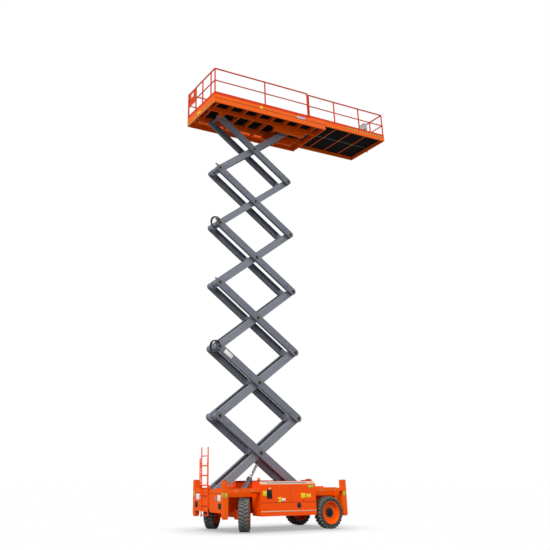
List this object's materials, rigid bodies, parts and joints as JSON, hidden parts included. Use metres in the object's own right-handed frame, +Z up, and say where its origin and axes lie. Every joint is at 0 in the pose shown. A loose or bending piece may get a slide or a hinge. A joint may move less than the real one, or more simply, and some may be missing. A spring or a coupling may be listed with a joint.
{
  "type": "self-propelled scissor lift",
  "caption": "Self-propelled scissor lift on four tyred wheels, with a crossed-arm stack, a railed platform, a roll-out deck, corner jack legs, engine hoods and a ladder.",
  "frame": {"origin": "on the ground, under the middle of the whole machine as it stands with its deck rolled out", "axes": "+X from the ladder end with the steered wheels towards the roll-out deck, +Y to the far side, +Z up"},
  "size_m": [8.866, 2.65, 16.9659],
  "materials": {
    "tyre": "matte",
    "chrome": "polished",
    "blue_grey": "satin",
    "deck_plate": "matte",
    "dark_grey": "satin",
    "amber": "gloss",
    "red_orange": "gloss",
    "orange": "gloss"
  },
  "bodies": {
    "chassis": {"chassis_frame": "red_orange", "steer_axle": "dark_grey", "rear_axle": "dark_grey", "hood_lower_near": "orange", "hood_lower_far": "orange", "engine_block": "dark_grey", "beacon": "amber", "ladder_main": "orange"},
    "stabiliser_front_near_leg": {"stabiliser_front_near": "red_orange"},
    "wheel_front_near": {"rim_front_near": "red_orange", "tyre_front_near": "tyre"},
    "stabiliser_front_far_leg": {"stabiliser_front_far": "red_orange"},
    "wheel_front_far": {"rim_front_far": "red_orange", "tyre_front_far": "tyre"},
    "stabiliser_rear_near_leg": {"stabiliser_rear_near": "red_orange"},
    "wheel_rear_near": {"rim_rear_near": "red_orange", "tyre_rear_near": "tyre"},
    "stabiliser_rear_far_leg": {"stabiliser_rear_far": "red_orange"},
    "wheel_rear_far": {"rim_rear_far": "red_orange", "tyre_rear_far": "tyre"},
    "steering_near": {"knuckle_near": "dark_grey"},
    "hood_near": {"hood_cover_near": "orange"},
    "steering_far": {"knuckle_far": "dark_grey"},
    "hood_far": {"hood_cover_far": "orange"},
    "ladder_lower": {"ladder_slide": "orange"},
    "inner_1": {"inner_arms_1": "blue_grey"},
    "outer_1": {"outer_arms_1": "blue_grey"},
    "inner_2": {"inner_arms_2": "blue_grey"},
    "outer_2": {"outer_arms_2": "blue_grey"},
    "inner_3": {"inner_arms_3": "blue_grey"},
    "outer_3": {"outer_arms_3": "blue_grey"},
    "inner_4": {"inner_arms_4": "blue_grey"},
    "outer_4": {"outer_arms_4": "blue_grey"},
    "inner_5": {"inner_arms_5": "blue_grey"},
    "outer_5": {"outer_arms_5": "blue_grey"},
    "inner_6": {"inner_arms_6": "blue_grey"},
    "outer_6": {"outer_arms_6": "blue_grey"},
    "cylinder_barrel": {"lift_barrel": "blue_grey"},
    "cylinder_rod": {"lift_rod": "chrome"},
    "platform": {"deck_frame": "orange", "deck_floor": "deck_plate", "rail_near": "orange", "rail_far": "orange", "rail_end": "orange"},
    "entry_gate": {"gate": "orange"},
    "roll_out_deck": {"ext_frame": "orange", "ext_rail_near": "orange", "ext_rail_far": "orange", "ext_rail_end": "orange", "control_box": "dark_grey"}
  },
  "joints": [
    {"name": "lift", "type": "hinge", "parent": "chassis", "child": "inner_1", "pos_m": [-3.715, 0.0057, 1.198], "axis": [0, -1, 0], "range_deg": [-31.2, 12.2]},
    {"name": "pin_outer_1", "type": "hinge", "parent": "inner_1", "child": "outer_1", "pos_m": [-2.08413, 0.0057, 2.37033], "axis": [0, -1, 0], "range_deg": [-24.7, 62.7]},
    {"name": "pin_inner_2", "type": "hinge", "parent": "outer_1", "child": "inner_2", "pos_m": [-3.715, 0.0057, 3.54265], "axis": [0, -1, 0], "range_deg": [-62.7, 24.7]},
    {"name": "pin_outer_2", "type": "hinge", "parent": "inner_2", "child": "outer_2", "pos_m": [-2.08413, 0.0057, 4.71498], "axis": [0, -1, 0], "range_deg": [-24.7, 62.7]},
    {"name": "pin_inner_3", "type": "hinge", "parent": "outer_2", "child": "inner_3", "pos_m": [-3.715, 0.0057, 5.88731], "axis": [0, -1, 0], "range_deg": [-62.7, 24.7]},
    {"name": "pin_outer_3", "type": "hinge", "parent": "inner_3", "child": "outer_3", "pos_m": [-2.08413, 0.0057, 7.05964], "axis": [0, -1, 0], "range_deg": [-24.7, 62.7]},
    {"name": "pin_inner_4", "type": "hinge", "parent": "outer_3", "child": "inner_4", "pos_m": [-3.715, 0.0057, 8.23196], "axis": [0, -1, 0], "range_deg": [-62.7, 24.7]},
    {"name": "pin_outer_4", "type": "hinge", "parent": "inner_4", "child": "outer_4", "pos_m": [-2.08413, 0.0057, 9.40429], "axis": [0, -1, 0], "range_deg": [-24.7, 62.7]},
    {"name": "pin_inner_5", "type": "hinge", "parent": "outer_4", "child": "inner_5", "pos_m": [-3.715, 0.0057, 10.57662], "axis": [0, -1, 0], "range_deg": [-62.7, 24.7]},
    {"name": "pin_outer_5", "type": "hinge", "parent": "inner_5", "child": "outer_5", "pos_m": [-2.08413, 0.0057, 11.74895], "axis": [0, -1, 0], "range_deg": [-24.7, 62.7]},
    {"name": "pin_inner_6", "type": "hinge", "parent": "outer_5", "child": "inner_6", "pos_m": [-3.715, 0.0057, 12.92127], "axis": [0, -1, 0], "range_deg": [-62.7, 24.7]},
    {"name": "pin_outer_6", "type": "hinge", "parent": "inner_6", "child": "outer_6", "pos_m": [-2.08413, 0.0057, 14.0936], "axis": [0, -1, 0], "range_deg": [-24.7, 62.7]},
    {"name": "pin_platform", "type": "hinge", "parent": "outer_6", "child": "platform", "pos_m": [-3.715, 0.0057, 15.26593], "axis": [0, -1, 0], "range_deg": [-31.5, 12.5]},
    {"name": "cylinder_tilt", "type": "hinge", "parent": "chassis", "child": "cylinder_barrel", "pos_m": [-2.815, 0.0057, 0.798], "axis": [0, -1, 0], "range_deg": [-38.95, 15.41]},
    {"name": "cylinder_stroke", "type": "slide", "parent": "cylinder_barrel", "child": "cylinder_rod", "axis": [0.5507, 0, 0.8347], "range_m": [-0.477, 0.1884]},
    {"name": "gate_swing", "type": "hinge", "parent": "platform", "child": "entry_gate", "pos_m": [-4.407, 0.5571, 15.71493], "axis": [0, 0, -1], "range_deg": [0, 95]},
    {"name": "deck_roll_out", "type": "slide", "parent": "platform", "child": "roll_out_deck", "axis": [1, 0, 0], "range_m": [-3.3, 0]},
    {"name": "hood_near_lift", "type": "hinge", "parent": "chassis", "child": "hood_near", "pos_m": [-1.462, -0.5626, 1.472], "axis": [-1, 0, 0], "range_deg": [0, 50]},
    {"name": "hood_far_lift", "type": "hinge", "parent": "chassis", "child": "hood_far", "pos_m": [-1.462, 0.574, 1.472], "axis": [1, 0, 0], "range_deg": [0, 50]},
    {"name": "steer_near", "type": "hinge", "parent": "chassis", "child": "steering_near", "pos_m": [-3.192, -0.7243, 0.5], "axis": [0, 0, 1], "range_deg": [-102, 0]},
    {"name": "steer_far", "type": "hinge", "parent": "chassis", "child": "steering_far", "pos_m": [-3.192, 0.7357, 0.5], "axis": [0, 0, 1], "range_deg": [-80.83, 0.3]},
    {"name": "wheel_front_near_spin", "type": "hinge", "parent": "steering_near", "child": "wheel_front_near", "pos_m": [-3.02427, -0.83323, 0.5], "axis": [0.8387, -0.5446, 0], "continuous": true},
    {"name": "stabiliser_front_near_down", "type": "slide", "parent": "chassis", "child": "stabiliser_front_near_leg", "axis": [0, 0, -1], "range_m": [0, 0.385]},
    {"name": "wheel_front_far_spin", "type": "hinge", "parent": "steering_far", "child": "wheel_front_far", "pos_m": [-3.33342, 0.87712, 0.5], "axis": [-0.7071, 0.7071, 0], "continuous": true},
    {"name": "stabiliser_front_far_down", "type": "slide", "parent": "chassis", "child": "stabiliser_front_far_leg", "axis": [0, 0, -1], "range_m": [0, 0.385]},
    {"name": "wheel_rear_near_spin", "type": "hinge", "parent": "chassis", "child": "wheel_rear_near", "pos_m": [0.253, -0.9443, 0.5], "axis": [0, -1, 0], "continuous": true},
    {"name": "stabiliser_rear_near_down", "type": "slide", "parent": "chassis", "child": "stabiliser_rear_near_leg", "axis": [0, 0, -1], "range_m": [0, 0.385]},
    {"name": "wheel_rear_far_spin", "type": "hinge", "parent": "chassis", "child": "wheel_rear_far", "pos_m": [0.253, 0.9557, 0.5], "axis": [0, 1, 0], "continuous": true},
    {"name": "stabiliser_rear_far_down", "type": "slide", "parent": "chassis", "child": "stabiliser_rear_far_leg", "axis": [0, 0, -1], "range_m": [0, 0.385]},
    {"name": "ladder_drop", "type": "slide", "parent": "chassis", "child": "ladder_lower", "axis": [0, 0, -1], "range_m": [0, 0.4]}
  ],
  "couplings": [
    {"joint": "pin_outer_1", "follows": "lift", "ratio": -2},
    {"joint": "pin_inner_2", "follows": "lift", "ratio": 2},
    {"joint": "pin_outer_2", "follows": "lift", "ratio": -2},
    {"joint": "pin_inner_3", "follows": "lift", "ratio": 2},
    {"joint": "pin_outer_3", "follows": "lift", "ratio": -2},
    {"joint": "pin_inner_4", "follows": "lift", "ratio": 2},
    {"joint": "pin_outer_4", "follows": "lift", "ratio": -2},
    {"joint": "pin_inner_5", "follows": "lift", "ratio": 2},
    {"joint": "pin_outer_5", "follows": "lift", "ratio": -2},
    {"joint": "pin_inner_6", "follows": "lift", "ratio": 2},
    {"joint": "pin_outer_6", "follows": "lift", "ratio": -2},
    {"joint": "pin_platform", "follows": "lift", "ratio": 1},
    {"joint": "cylinder_tilt", "follows": "lift", "ratio": 1.2388},
    {"joint": "cylinder_stroke", "follows": "lift", "m_per_rad": 0.8705},
    {"joint": "steer_far", "follows": "steer_near", "ratio": 0.78947}
  ]
}
